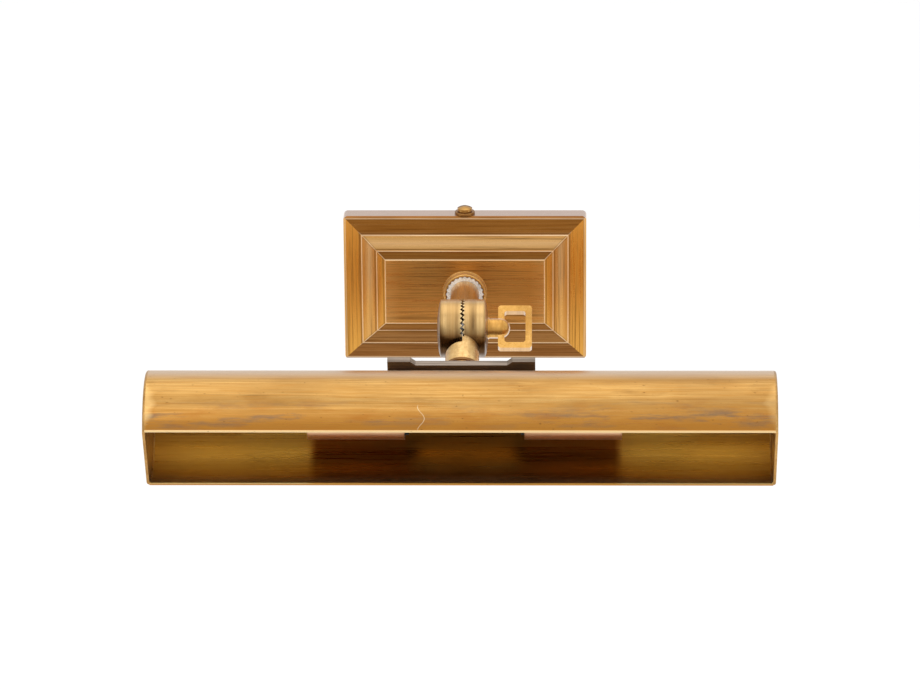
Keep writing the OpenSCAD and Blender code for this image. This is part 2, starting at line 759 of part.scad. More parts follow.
module lampholder_shell(s) {
    color("#c2a35a") lamp_side(s) difference() {
        bar_x(shell_r + shell_t, shell_start, ear_out + core_len - 1);
        bar_x(shell_r, shell_start + shell_t, ear_out + core_len);
        bar_x(4, shell_start - over, shell_start + over);
    }
}

// The contact is a bent strip: a foot on the core's floor and a leaf under the lamp
module lampholder_contact(s) {
    w = 3;
    foot = 3;
    tip = contact_t + contact_rise;
    color("#c2a35a") lamp_side(s) translate([shell_start, 0, 0]) rotate([90, 0, 0])
        linear_extrude(w, center = true) polygon([[0, -foot], [contact_t, -foot], [contact_t, foot - 1],
            [tip - contact_t, 0.2], [tip - contact_t, -0.8], [tip, -0.8], [tip, 0.6], [0, foot]]);
}

module lampholder_sleeve(s) {
    color("#96632c") lamp_side(s) difference() {
        bar_x(sleeve_r, sleeve_start, sleeve_start + sleeve_len);
        bar_x(sleeve_r - sleeve_t, sleeve_start - over, sleeve_start + sleeve_len + over);
    }
}

module lamp_base(s) {
    tip_len = 2;
    color("#d0cdc4") lamp_side(s) difference() {
        union() {
            bar_x(2.2, lamp_start, lamp_start + tip_len);
            bar_x(base_r - 1.5, lamp_start + 1, lamp_start + 3);
            bar_x(base_r, lamp_start + 3, lamp_start + base_len);
        }
        bar_x(base_r - 0.5, lamp_start + 4, lamp_start + base_len + over);
    }
}

// The glass runs into the base as a neck, and ends in a round nose
module lamp_glass(s) {
    neck = base_r - 0.5 - fit;
    color([0.9, 0.95, 0.97, 0.4]) lamp_side(s) difference() {
        union() {
            bar_x(neck, glass_start, lamp_start + base_len + 1);
            bar_x(glass_r, lamp_start + base_len + 0.6, lamp_end - glass_r);
            translate([lamp_end - glass_r, 0, 0]) sphere(r = glass_r);
        }
        bar_x(neck - glass_t, glass_start - over, lamp_start + base_len + 2);
        bar_x(glass_r - glass_t, lamp_start + base_len + 0.6 + glass_t, lamp_end - glass_r);
        translate([lamp_end - glass_r, 0, 0]) sphere(r = glass_r - glass_t);
    }
}

module lamp_filament(s) {
    stem_end = lamp_start + base_len + 12;
    filament_end = lamp_end - glass_r - 4;
    color("#b8b2a6") lamp_side(s) {
        bar_x(2.4, glass_start, stem_end);
        bar_x(base_r - 0.5 - glass_t - 2 * fit, glass_start, glass_start + glass_t);
        for (y = [-1, 1]) translate([0, y * 1.5, 0]) bar_x(0.3, stem_end - over, filament_end);
        translate([filament_end - 0.3, -1.8, 0]) rotate([-90, 0, 0]) cylinder(r = 0.3, h = 3.6);
    }
}

module head_wires() {
    spread = 1.3;
    color("#e9dfc4") head() for (s = [-1, 1], k = [-1, 1])
        wire(concat([[s * spread, k * spread, neck_nipple_start + 2]],
            bezier([s * spread, k * spread, neck_nipple_end], [s * spread, k * spread, neck_nipple_end + 8],
                [s * 8, k * spread, lamp_z], [lamp_offset + s * (ear_out - 9), k * spread, lamp_z]),
            [[lamp_offset + s * (ear_out + 5), k * spread, lamp_z]]), [0, 1, 0]);
}

wall_plate();
mounting_bracket();
cap_screw();
cap_collar();
arm_ferrule();
arm_lock_ring();
arm_nipple();
arm_washer();
arm_nut();
arm_tube();
fixed_knuckle_half();
terminal_block();
terminal_screws();
earth_screw();
arm_wires();
clamp_washer();
clamp_key();
clamp_stud();
moving_knuckle_half();
neck_ring();
neck_socket();
neck_nipple();
neck_nut();
saddle_plate();
saddle_screws();
shade_body();
end_cap(-1);  // end_cap_left
end_cap(1);  // end_cap_right
lampholder_bracket();
lampholder_nipples();
lampholder_nuts();
lampholder_core(-1);  // lampholder_core_left
lampholder_core(1);  // lampholder_core_right
lampholder_shell(-1);  // lampholder_shell_left
lampholder_shell(1);  // lampholder_shell_right
lampholder_contact(-1);  // lampholder_contact_left
lampholder_contact(1);  // lampholder_contact_right
lampholder_sleeve(-1);  // lampholder_sleeve_left
lampholder_sleeve(1);  // lampholder_sleeve_right
lamp_base(-1);  // lamp_base_left
lamp_base(1);  // lamp_base_right
lamp_glass(-1);  // lamp_glass_left
lamp_glass(1);  // lamp_glass_right
lamp_filament(-1);  // lamp_filament_left
lamp_filament(1);  // lamp_filament_right
head_wires();
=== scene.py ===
"""A brass picture light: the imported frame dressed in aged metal, with its formed and fine pieces added."""

import json
import logging
import math
from dataclasses import dataclass
from enum import Enum

import bpy
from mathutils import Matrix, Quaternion, Vector


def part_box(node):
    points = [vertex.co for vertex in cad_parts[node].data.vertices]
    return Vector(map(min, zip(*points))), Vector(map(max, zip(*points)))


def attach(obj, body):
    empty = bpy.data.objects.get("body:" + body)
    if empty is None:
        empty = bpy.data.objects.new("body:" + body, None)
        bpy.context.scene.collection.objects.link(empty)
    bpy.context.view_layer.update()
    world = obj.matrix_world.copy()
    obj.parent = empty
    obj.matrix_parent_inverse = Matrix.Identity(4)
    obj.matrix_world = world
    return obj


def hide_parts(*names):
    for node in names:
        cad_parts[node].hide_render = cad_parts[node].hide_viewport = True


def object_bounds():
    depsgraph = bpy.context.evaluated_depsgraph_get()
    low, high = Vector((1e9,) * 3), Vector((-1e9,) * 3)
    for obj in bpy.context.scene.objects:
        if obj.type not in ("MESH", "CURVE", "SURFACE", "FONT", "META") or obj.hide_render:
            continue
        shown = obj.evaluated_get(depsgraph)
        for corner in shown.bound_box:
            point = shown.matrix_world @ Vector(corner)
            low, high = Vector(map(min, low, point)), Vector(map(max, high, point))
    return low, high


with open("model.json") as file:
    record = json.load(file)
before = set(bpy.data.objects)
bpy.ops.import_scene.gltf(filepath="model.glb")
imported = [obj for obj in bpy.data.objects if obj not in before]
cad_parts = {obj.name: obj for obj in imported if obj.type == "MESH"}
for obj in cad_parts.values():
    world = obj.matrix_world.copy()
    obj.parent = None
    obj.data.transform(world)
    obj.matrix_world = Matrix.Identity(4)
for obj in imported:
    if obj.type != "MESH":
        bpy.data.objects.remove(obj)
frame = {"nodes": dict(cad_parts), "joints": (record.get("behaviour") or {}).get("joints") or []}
cad_low, cad_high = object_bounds()

logging.basicConfig(level=logging.INFO, format="%(name)s: %(message)s")
log = logging.getLogger("picture_light")

MM = 0.001

Colour = tuple[float, float, float]
Point = tuple[float, float, float]


class Grain(Enum):
    """Which way a surface was brushed."""

    ALONG_X = (1.0, 0.0, 0.0)
    ALONG_Y = (0.0, 1.0, 0.0)
    ALONG_Z = (0.0, 0.0, 1.0)
    AROUND_X = "around_x"


# ---------------------------------------------------------------- node helpers


class Graph:
    """A short way to add and join shader nodes in one tree."""

    def __init__(self, tree: bpy.types.NodeTree) -> None:
        """Keeps the tree that nodes are added to.

        Args:
            tree: the material's, world's or group's node tree.
        """
        self.tree = tree

    def add(self, kind: str, **settings: object) -> bpy.types.Node:
        """Adds one node.

        Args:
            kind: the node's type name.
            settings: attributes set on the node.

        Returns:
            The new node.
        """
        node = self.tree.nodes.new(kind)
        for name, value in settings.items():
            setattr(node, name, value)
        return node

    def join(self, source: bpy.types.NodeSocket, target: bpy.types.NodeSocket) -> None:
        """Links an output socket to an input socket."""
        self.tree.links.new(source, target)

    def feed(self, target: bpy.types.NodeSocket, value: object) -> None:
        """Sets a socket to a constant, or links a socket to it.

        Args:
            target: the input socket.
            value: a number, a tuple, or an output socket.
        """
        if isinstance(value, bpy.types.NodeSocket):
            self.join(value, target)
        else:
            target.default_value = value

    def math(self, operation: str, a: object, b: object = 0.0) -> bpy.types.NodeSocket:
        """Adds a Math node.

        Args:
            operation: the node's operation.
            a: first value or socket.
            b: second value or socket.

        Returns:
            The result socket.
        """
        node = self.add("ShaderNodeMath", operation=operation)
        self.feed(node.inputs[0], a)
        self.feed(node.inputs[1], b)
        return node.outputs[0]

    def mix(self, factor: object, a: object, b: object) -> bpy.types.NodeSocket:
        """Mixes two colours.

        Args:
            factor: share of the second colour.
            a: first colour, as RGB or a socket.
            b: second colour, as RGB or a socket.

        Returns:
            The mixed colour's socket.
        """
        node = self.add("ShaderNodeMix", data_type="RGBA")
        self.feed(node.inputs[0], factor)
        for socket, value in ((node.inputs[6], a), (node.inputs[7], b)):
            self.feed(socket, (*value, 1.0) if isinstance(value, tuple) and len(value) == 3 else value)
        return node.outputs[2]

    def remap(self, value: object, low: float, high: float, to_low: float = 0.0, to_high: float = 1.0
              ) -> bpy.types.NodeSocket:
        """Maps a range onto another, held at its ends.

        Args:
            value: the input socket.
            low: input that gives to_low.
            high: input that gives to_high.
            to_low: lowest output.
            to_high: highest output.

        Returns:
            The mapped value's socket.
        """
        node = self.add("ShaderNodeMapRange")
        for socket, number in zip(node.inputs, (value, low, high, to_low, to_high)):
            self.feed(socket, number)
        return node.outputs[0]

    def pulse(self, value: object, centre: float, half_width: float) -> bpy.types.NodeSocket:
        """A soft line: 1 where a value meets its centre, falling to 0.

        Args:
            value: the input socket.
            centre: the value at the line's middle.
            half_width: distance at which the line ends.

        Returns:
            The line's socket.
        """
        away = self.math("ABSOLUTE", self.math("SUBTRACT", value, centre))
        return self.remap(away, 0.0, half_width, 1.0, 0.0)

    def product(self, *values: object) -> bpy.types.NodeSocket:
        """Multiplies values or sockets together."""
        result = values[0]
        for value in values[1:]:
            result = self.math("MULTIPLY", result, value)
        return result

    def noise(self, vector: object, scale: Point, detail: float = 3.0, rough: float = 0.55,
              shift: float = 0.0) -> bpy.types.NodeSocket:
        """A noise pattern stretched by a scale for each axis.

        Args:
            vector: the coordinate socket.
            scale: cycles per metre along each axis.
            detail: octaves.
            rough: how strong the finer octaves are.
            shift: moves the pattern, so that two noises differ.

        Returns:
            The noise value's socket.
        """
        mapping = self.add("ShaderNodeMapping")
        mapping.inputs["Location"].default_value = (shift, shift * 1.7, shift * 2.3)
        mapping.inputs["Scale"].default_value = scale
        self.feed(mapping.inputs["Vector"], vector)
        node = self.add("ShaderNodeTexNoise")
        node.inputs["Scale"].default_value = 1.0
        node.inputs["Detail"].default_value = detail
        node.inputs["Roughness"].default_value = rough
        self.join(mapping.outputs[0], node.inputs["Vector"])
        return node.outputs[0]


def brush_group() -> bpy.types.NodeTree:
    """Builds the group that turns a brushing coordinate into streaks, patina, smudges and height.

    The incoming vector's x axis runs along the brush strokes, in metres.

    Returns:
        The node group, made once.
    """
    name = "brushed_patina"
    if name in bpy.data.node_groups:
        return bpy.data.node_groups[name]
    tree = bpy.data.node_groups.new(name, "ShaderNodeTree")
    tree.interface.new_socket("Vector", in_out="INPUT", socket_type="NodeSocketVector")
    for out in ("Streak", "Band", "Patina", "Smudge", "Height"):
        tree.interface.new_socket(out, in_out="OUTPUT", socket_type="NodeSocketFloat")
    g = Graph(tree)
    inside = g.add("NodeGroupInput")
    outside = g.add("NodeGroupOutput")
    place = inside.outputs["Vector"]
    fine = g.noise(place, (20.0, 1500.0, 1500.0), 4.0, 0.65)
    middle = g.noise(place, (9.0, 560.0, 560.0), 4.0, 0.6, 3.1)
    broad = g.noise(place, (4.5, 95.0, 95.0), 3.0, 0.5, 7.7)
    blotch = g.noise(place, (16.0, 42.0, 42.0), 5.0, 0.62, 11.3)
    smudge = g.noise(place, (26.0, 110.0, 110.0), 6.0, 0.66, 19.9)
    streak = g.math("ADD", g.math("MULTIPLY", fine, 0.5), g.math("MULTIPLY", middle, 0.5))
    g.join(g.remap(streak, 0.39, 0.61), outside.inputs["Streak"])
    g.join(g.remap(broad, 0.36, 0.66), outside.inputs["Band"])
    g.join(g.remap(blotch, 0.42, 0.66), outside.inputs["Patina"])
    g.join(g.remap(smudge, 0.56, 0.72), outside.inputs["Smudge"])
    g.join(g.math("ADD", g.math("MULTIPLY", fine, 0.7), g.math("MULTIPLY", middle, 0.3)),
           outside.inputs["Height"])
    return tree


def brushing_vector(g: Graph, grain: Grain, centre: Point) -> bpy.types.NodeSocket:
    """Gives a coordinate whose x axis follows the brush strokes.

    Args:
        g: the material's graph.
        grain: which way the surface was brushed.
        centre: a point on the piece's axis, in metres.

    Returns:
        The coordinate's socket.
    """
    coord = g.add("ShaderNodeTexCoord")
    shift = g.add("ShaderNodeVectorMath", operation="SUBTRACT")
    g.join(coord.outputs["Object"], shift.inputs[0])
    shift.inputs[1].default_value = centre
    split = g.add("ShaderNodeSeparateXYZ")
    g.join(shift.outputs[0], split.inputs[0])
    x, y, z = split.outputs
    merge = g.add("ShaderNodeCombineXYZ")
    if grain is Grain.AROUND_X:
        radius = g.math("SQRT", g.math("ADD", g.math("MULTIPLY", y, y), g.math("MULTIPLY", z, z)))
        angle = g.math("ARCTAN2", z, y)
        parts = (g.math("MULTIPLY", angle, 0.012), x, radius)
    elif grain is Grain.ALONG_Z:
        parts = (z, x, y)
    elif grain is Grain.ALONG_Y:
        parts = (y, x, z)
    else:
        parts = (x, y, z)
    for socket, part in zip(merge.inputs, parts):
        g.join(part, socket)
    return merge.outputs[0]


# ---------------------------------------------------------------- finishes


@dataclass(frozen=True)
class AgedBrass:
    """Brushed, lacquered brass with a brown patina in its hollows, and a paler painted sheen where it is seen
    at a glancing angle.
    """

    name: str
    light: Colour = (0.74, 0.44, 0.155)
    body: Colour = (0.58, 0.31, 0.085)
    dark: Colour = (0.20, 0.085, 0.02)
    # colour of the painted sheen at glancing angles
    glancing_sheen: Colour = (0.86, 0.76, 0.68)
    grain: Grain = Grain.ALONG_X
    centre: Point = (0.0, 0.0, 0.0)
    patina: float = 0.45
    smudge: float = 0.5
    pale: float = 0.75
    rough_low: float = 0.24
    rough_high: float = 0.40
    bump: float = 0.25

    def build(self) -> bpy.types.Material:
        """Builds the material.

        Returns:
            The material, made once under its name.
        """
        if self.name in bpy.data.materials:
            return bpy.data.materials[self.name]
        material = bpy.data.materials.new(self.name)
        material.use_nodes = True
        material.diffuse_color = (*self.body, 1.0)
        g = Graph(material.node_tree)
        shader = material.node_tree.nodes["Principled BSDF"]
        brush = g.add("ShaderNodeGroup", node_tree=brush_group())
        g.join(self.strokes(g), brush.inputs["Vector"])
        colour = g.mix(brush.outputs["Streak"], self.body, self.light)
        colour = g.mix(g.math("MULTIPLY", brush.outputs["Band"], 0.45), colour, self.body)
        colour = g.mix(g.math("MULTIPLY", brush.outputs["Patina"], self.patina), colour, self.dark)
        stain = g.math("MULTIPLY", brush.outputs["Smudge"], self.smudge)
        colour = g.mix(stain, colour, self.dark)
        colour = self.marks(g, colour, brush)
        # Painted sheen: the colour turns paler where the surface is seen at a glancing angle.
        glance = g.add("ShaderNodeLayerWeight")
        glance.inputs["Blend"].default_value = 0.5
        colour = g.mix(g.remap(glance.outputs["Facing"], 0.46, 0.72, 0.0, self.pale), colour, self.glancing_sheen)
        g.join(colour, shader.inputs["Base Color"])
        shader.inputs["Metallic"].default_value = 1.0
        rough = g.remap(brush.outputs["Streak"], 0.0, 1.0, self.rough_high, self.rough_low)
        g.join(g.math("ADD", rough, g.math("MULTIPLY", stain, 0.2)), shader.inputs["Roughness"])
        bump = g.add("ShaderNodeBump")
        bump.inputs["Strength"].default_value = self.bump
        bump.inputs["Distance"].default_value = 0.05 * MM
        g.join(brush.outputs["Height"], bump.inputs["Height"])
        g.join(bump.outputs["Normal"], shader.inputs["Normal"])
        return material

    def strokes(self, g: Graph) -> bpy.types.NodeSocket:
        """Gives the coordinate that the brush strokes follow."""
        return brushing_vector(g, self.grain, self.centre)

    def marks(self, g: Graph, colour: bpy.types.NodeSocket, brush: bpy.types.Node) -> bpy.types.NodeSocket:
        """Adds the piece's own wear and patina; plain brass has none.

        Args:
            g: the material's graph.
            colour: the colour so far.
            brush: the brushing group's node.

        Returns:
            The colour with the marks on it.
        """
        return colour

    def local_axes(self, g: Graph) -> tuple[bpy.types.NodeSocket, ...]:
        """Gives x, y and z in metres from the piece's own centre."""
        shift = g.add("ShaderNodeVectorMath", operation="SUBTRACT")
        g.join(g.add("ShaderNodeTexCoord").outputs["Object"], shift.inputs[0])
        shift.inputs[1].default_value = self.centre
        split = g.add("ShaderNodeSeparateXYZ")
        g.join(shift.outputs[0], split.inputs[0])
        return tuple(split.outputs)


@dataclass(frozen=True)
class PlateBrass(AgedBrass):
    """The stepped plate: strokes along each side, painted light and shade on its steps, and painted
    highlights, partly wear, along the step edges and mitres.
    """

    band_end: float = 11.0 * MM
    slope_end: float = 19.4 * MM
    step_end: float = 24.3 * MM
    # Colours of the painted edge highlights, partly wear, and of the dark streaks and painted shadows beside
    # them.
    wear_and_highlight: Colour = (0.92, 0.68, 0.42)
    grain_and_shadow: Colour = (0.13, 0.05, 0.012)
    # Tones painted onto the steps as light and shade; the panel's tone is its own colour.
    side: Colour = (0.82, 0.41, 0.074)
    level: Colour = (0.27, 0.085, 0.006)
    slope: Colour = (0.686, 0.41, 0.181)
    step: Colour = (0.23, 0.075, 0.006)
    panel: Colour = (0.665, 0.338, 0.086)
    underside: Colour = (0.18, 0.06, 0.015)

    def edges(self, g: Graph) -> tuple[bpy.types.NodeSocket, ...]:
        """Gives y and z, and the distances in from the plate's sides and from its top and bottom."""
        x, y, z = self.local_axes(g)
        low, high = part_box("wall_plate")
        from_side = g.math("SUBTRACT", (high[0] - low[0]) / 2, g.math("ABSOLUTE", x))
        from_top = g.math("SUBTRACT", (high[2] - low[2]) / 2, g.math("ABSOLUTE", z))
        return x, y, z, from_side, from_top

    def strokes(self, g: Graph) -> bpy.types.NodeSocket:
        """Gives a coordinate that runs along each side of the plate."""
        x, y, z, from_side, from_top = self.edges(g)
        upright = g.math("LESS_THAN", from_side, from_top)
        panel = g.math("GREATER_THAN", g.math("MINIMUM", from_side, from_top), self.step_end)
        upright = g.math("MULTIPLY", upright, g.math("SUBTRACT", 1.0, panel))
        along = g.add("ShaderNodeMix", data_type="FLOAT")
        across = g.add("ShaderNodeMix", data_type="FLOAT")
        for node, first, second in ((along, x, z), (across, z, x)):
            g.join(upright, node.inputs[0])
            g.join(first, node.inputs[2])
            g.join(second, node.inputs[3])
        merge = g.add("ShaderNodeCombineXYZ")
        g.join(along.outputs[0], merge.inputs[0])
        g.join(across.outputs[0], merge.inputs[1])
        g.join(g.math("ADD", y, g.math("MULTIPLY", upright, 0.37)), merge.inputs[2])
        return merge.outputs[0]

    def marks(self, g: Graph, colour: bpy.types.NodeSocket, brush: bpy.types.Node) -> bpy.types.NodeSocket:
        """Paints light and shade onto the steps, then paints highlights, partly wear, along the step edges
        and the mitres, with painted shadows beside them.
        """
        _, _, z, from_side, from_top = self.edges(g)
        depth = g.math("MINIMUM", from_side, from_top)
        level = g.math("SUBTRACT", 1.0, g.math("LESS_THAN", from_side, from_top))
        band = g.math("LESS_THAN", depth, self.band_end)
        slope_width = self.slope_end - self.band_end
        on_slope = g.pulse(depth, (self.band_end + self.slope_end) / 2, slope_width * 0.8)
        on_step = g.remap(depth, self.slope_end - 0.3 * MM, self.slope_end + 0.3 * MM)
        inside = g.math("GREATER_THAN", depth, self.step_end)
        # Painted light: the left and right bands lighter than the top and bottom ones, the slope lighter
        # towards the top, and painted shade on the step in the top and bottom bands.
        upper = g.remap(z, -10.0 * MM, 10.0 * MM, 0.45, 1.0)
        tone = g.mix(g.product(band, level), self.side, self.level)
        tone = g.mix(g.product(on_slope, upper), tone, self.slope)
        tone = g.mix(g.product(on_step, level), tone, self.step)
        # Painted shade: the plate darkens towards its bottom edge.
        sunk = g.product(g.remap(z, -18.0 * MM, -26.0 * MM), level, 0.9)
        tone = g.mix(sunk, tone, self.underside)
        tone = g.mix(inside, tone, self.panel)
        colour = g.mix(0.8, colour, tone)
        colour = g.mix(g.product(g.remap(brush.outputs["Streak"], 0.42, 0.0), 0.6), colour, self.grain_and_shadow)
        rub_and_sheen = g.product(inside, g.remap(from_side, 33.0 * MM, self.step_end), 0.45)
        colour = g.mix(rub_and_sheen, colour, self.light)
        outer = g.math("SUBTRACT", 1.0, inside)
        # Painted highlights, partly wear, along the mitres and step edges, with painted shadows just inside
        # them.
        diagonal = g.math("ABSOLUTE", g.math("SUBTRACT", from_side, from_top))
        below_band = g.remap(depth, self.band_end - 3.0 * MM, self.band_end)
        mitre = g.product(g.remap(diagonal, 0.0, 0.45 * MM, 1.0, 0.0), outer, below_band)
        lines, shades = mitre, g.product(g.pulse(diagonal, 0.8 * MM, 0.5 * MM), outer, below_band, 0.7)
        for place, width in ((self.band_end - 0.3 * MM, 0.5), (self.slope_end, 0.45), (self.step_end, 0.45)):
            lines = g.math("MAXIMUM", lines, g.pulse(depth, place, width * MM))
            shades = g.math("MAXIMUM", shades, g.pulse(depth, place - 1.0 * MM, 0.6 * MM))
        lines = g.math("MAXIMUM", lines, g.product(g.pulse(depth, 1.2 * MM, 0.6 * MM), 0.7))
        colour = g.mix(g.math("MULTIPLY", shades, 0.6), colour, self.grain_and_shadow)
        broken = g.remap(brush.outputs["Streak"], 0.1, 0.8, 0.6, 1.0)
        return g.mix(g.product(lines, broken), colour, self.wear_and_highlight)


@dataclass(frozen=True)
class ShadeBrass(AgedBrass):
    """The shade: handled outside, darker olive inside, with painted shade on the inside's middle behind the
    lampholders.
    """

    radius: float = 32.0 * MM
    half_length: float = 176.0 * MM
    inner: Colour = (0.83, 0.49, 0.105)
    inner_low: Colour = (0.69, 0.55, 0.25)
    # Colours of the painted shade behind the lampholders, darker above and lighter below.
    painted_shade_dark: Colour = (0.165, 0.066, 0.004)
    painted_shade_low: Colour = (0.55, 0.29, 0.045)
    grime: Colour = (0.17, 0.13, 0.10)
    lip: Colour = (0.48, 0.20, 0.03)
    rub_and_sheen: Colour = (0.98, 0.74, 0.38)
    end_glint: Colour = (0.88, 0.57, 0.22)
    rust: Colour = (0.42, 0.14, 0.02)
    hair: Colour = (0.88, 0.72, 0.48)
    lip_angle: float = math.radians(17)
    stain_angle: float = math.radians(32)
    wedge_angle: float = math.radians(46)
    wedge_width: float = 7.0 * MM
    hair_angle: float = math.radians(31)
    hair_x: float = -21.5 * MM
    hair_sway: float = 1.9 * MM
    # Where the painted shade behind the lampholders lies along the shade, and how it fades.
    lampholder_shade_x: float = 2.0 * MM
    lampholder_shade_half: float = 84.0 * MM
    lampholder_shade_fade: float = 5.0 * MM

    def marks(self, g: Graph, colour: bpy.types.NodeSocket, brush: bpy.types.Node) -> bpy.types.NodeSocket:
        """Adds the lip's painted shade and patina, handling smudges, nicks, one hair scratch, painted
        highlights on the lip and near the ends, and the inside's colours with painted shade behind the
        lampholders.
        """
        x, y, z = self.local_axes(g)
        angle = g.math("ARCTAN2", z, g.math("MULTIPLY", y, -1.0))
        reach = g.math("SQRT", g.math("ADD", g.math("MULTIPLY", y, y), g.math("MULTIPLY", z, z)))
        place = g.add("ShaderNodeCombineXYZ")
        for socket, part in zip(place.inputs, (x, g.math("MULTIPLY", angle, self.radius), 0.0)):
            g.feed(socket, part)
        # Painted shade, partly patina: the front darkens and browns towards the lip.
        low = g.remap(angle, math.radians(48), math.radians(24))
        colour = g.mix(g.math("MULTIPLY", low, 0.85), colour, self.lip)
        fine = g.noise(place.outputs[0], (30.0, 1500.0, 1.0), 4.0, 0.65, 2.2)
        colour = g.mix(g.product(g.remap(fine, 0.52, 0.36), 0.5), colour, self.lip)
        cloud = g.noise(place.outputs[0], (26.0, 170.0, 1.0), 7.0, 0.68, 5.3)
        zone = g.pulse(angle, self.stain_angle, math.radians(22))
        sides = g.remap(g.math("ABSOLUTE", x), 30.0 * MM, 80.0 * MM, 0.5, 1.0)
        colour = g.mix(g.product(g.remap(cloud, 0.50, 0.64), zone, sides, 0.75), colour, self.grime)
        rust = g.noise(place.outputs[0], (40.0, 120.0, 1.0), 5.0, 0.6, 9.1)
        colour = g.mix(g.product(g.remap(rust, 0.5, 0.66), zone, 0.45), colour, self.rust)
        # Painted highlight: a ragged bright wedge near each end of the shade, weaker towards the right.
        from_end = g.math("SUBTRACT", self.half_length, g.math("ABSOLUTE", x))
        wedge = g.product(g.pulse(angle, self.wedge_angle, math.radians(30)), self.wedge_width)
        ragged = g.math("ADD", wedge, g.product(g.math("SUBTRACT", cloud, 0.5), 9.0 * MM))
        shine = g.remap(g.math("SUBTRACT", ragged, from_end), -1.6 * MM, 2.2 * MM)
        colour = g.mix(g.product(shine, g.remap(x, -40.0 * MM, 40.0 * MM, 0.6, 0.3)), colour, self.end_glint)
        # Painted highlight, partly wear, along the front lip.
        lip_highlight = g.pulse(angle, self.lip_angle, math.radians(1.7))
        colour = g.mix(g.remap(lip_highlight, 0.1, 0.5, 0.0, 0.85), colour, self.rub_and_sheen)
        nick = g.noise(place.outputs[0], (420.0, 900.0, 1.0), 2.0, 0.5, 8.8)
        colour = g.mix(g.math("MULTIPLY", g.remap(nick, 0.715, 0.74), 0.8), colour, self.dark)
        bend = g.math("SINE", g.math("MULTIPLY", angle, 15.0))
        path = g.math("SUBTRACT", x, g.math("ADD", self.hair_x, g.math("MULTIPLY", bend, self.hair_sway)))
        span = g.pulse(angle, self.hair_angle, math.radians(14))
        scratch = g.product(g.pulse(path, 0.0, 0.22 * MM), g.remap(span, 0.0, 0.25))
        colour = g.mix(scratch, colour, self.hair)
        inside = g.remap(reach, self.radius - 0.45 * MM, self.radius - 0.55 * MM)
        sunk = g.remap(angle, math.radians(-150), math.radians(-85))
        olive = g.mix(sunk, self.inner, self.inner_low)
        olive = g.mix(g.math("MULTIPLY", brush.outputs["Streak"], 0.3), olive, colour)
        # Painted shade on the inner wall behind the lampholders, lighter towards the bottom, and darker still
        # in the middle between them.
        along = g.math("ABSOLUTE", g.math("SUBTRACT", x, self.lampholder_shade_x))
        lampholder_shade = g.remap(along, self.lampholder_shade_half + self.lampholder_shade_fade, self.lampholder_shade_half)
        painted_shade = g.mix(sunk, self.painted_shade_dark, self.painted_shade_low)
        olive = g.mix(g.math("MULTIPLY", lampholder_shade, 0.78), olive, painted_shade)
        middle = g.remap(g.math("ABSOLUTE", x), 60.0 * MM, 25.0 * MM, 0.0, 0.3)
        olive = g.mix(middle, olive, self.dark)
        return g.mix(inside, colour, olive)


@dataclass(frozen=True)
class KnuckleBrass(AgedBrass):
    """The knuckle: strokes around its axis, painted shade on its lower side and a plainer tone on top.

    Each turned band is its place along the axis and half its width in millimetres, then its strength.
    """

    teeth: Colour = (0.98, 0.76, 0.42)
    drum_radius: float = 16.8 * MM
    turned_bands: tuple[Point, ...] = (
        (-14.0, 3.4, 0.85),
        (6.2, 2.6, 0.75),
        (-3.2, 1.8, 0.4),
        (13.6, 2.2, 0.6),
    )

    def marks(self, g: Graph, colour: bpy.types.NodeSocket, brush: bpy.types.Node) -> bpy.types.NodeSocket:
        """Paints shade on the lower side, browns a few turned bands, tones the top towards the body colour,
        and paints a highlight, partly wear, on the teeth.
        """
        x, y, z = self.local_axes(g)
        reach = g.math("SQRT", g.math("ADD", g.math("MULTIPLY", y, y), g.math("MULTIPLY", z, z)))
        drum = g.remap(reach, self.drum_radius + 0.4 * MM, self.drum_radius)
        # Painted shade: the drum darkens below its axis, along a ragged, sloping line.
        ragged = g.math("MULTIPLY", g.math("SUBTRACT", brush.outputs["Band"], 0.5), 5.0 * MM)
        sloped = g.math("ADD", g.math("MULTIPLY", x, 0.15), ragged)
        low = g.remap(g.math("ADD", z, sloped), 6.0 * MM, -2.0 * MM)
        cloud = g.noise(g.add("ShaderNodeTexCoord").outputs["Object"], (260.0, 60.0, 60.0), 5.0, 0.6)
        patch = g.remap(cloud, 0.38, 0.58, 0.55, 1.0)
        for place, half_width, depth in self.turned_bands:
            band = g.product(g.pulse(x, place * MM, half_width * MM), patch, drum, depth)
            colour = g.mix(band, colour, self.dark)
        colour = g.mix(g.product(low, drum, 0.95), colour, self.dark)
        # The top of the drum is toned towards the body colour.
        high = g.remap(z, 10.0 * MM, 15.0 * MM, 0.0, 0.45)
        colour = g.mix(high, colour, self.body)
        # Painted highlight, partly wear, on the teeth.
        teeth = g.product(g.pulse(x, 0.0, 1.5 * MM), drum, 0.85)
        return g.mix(teeth, colour, self.teeth)


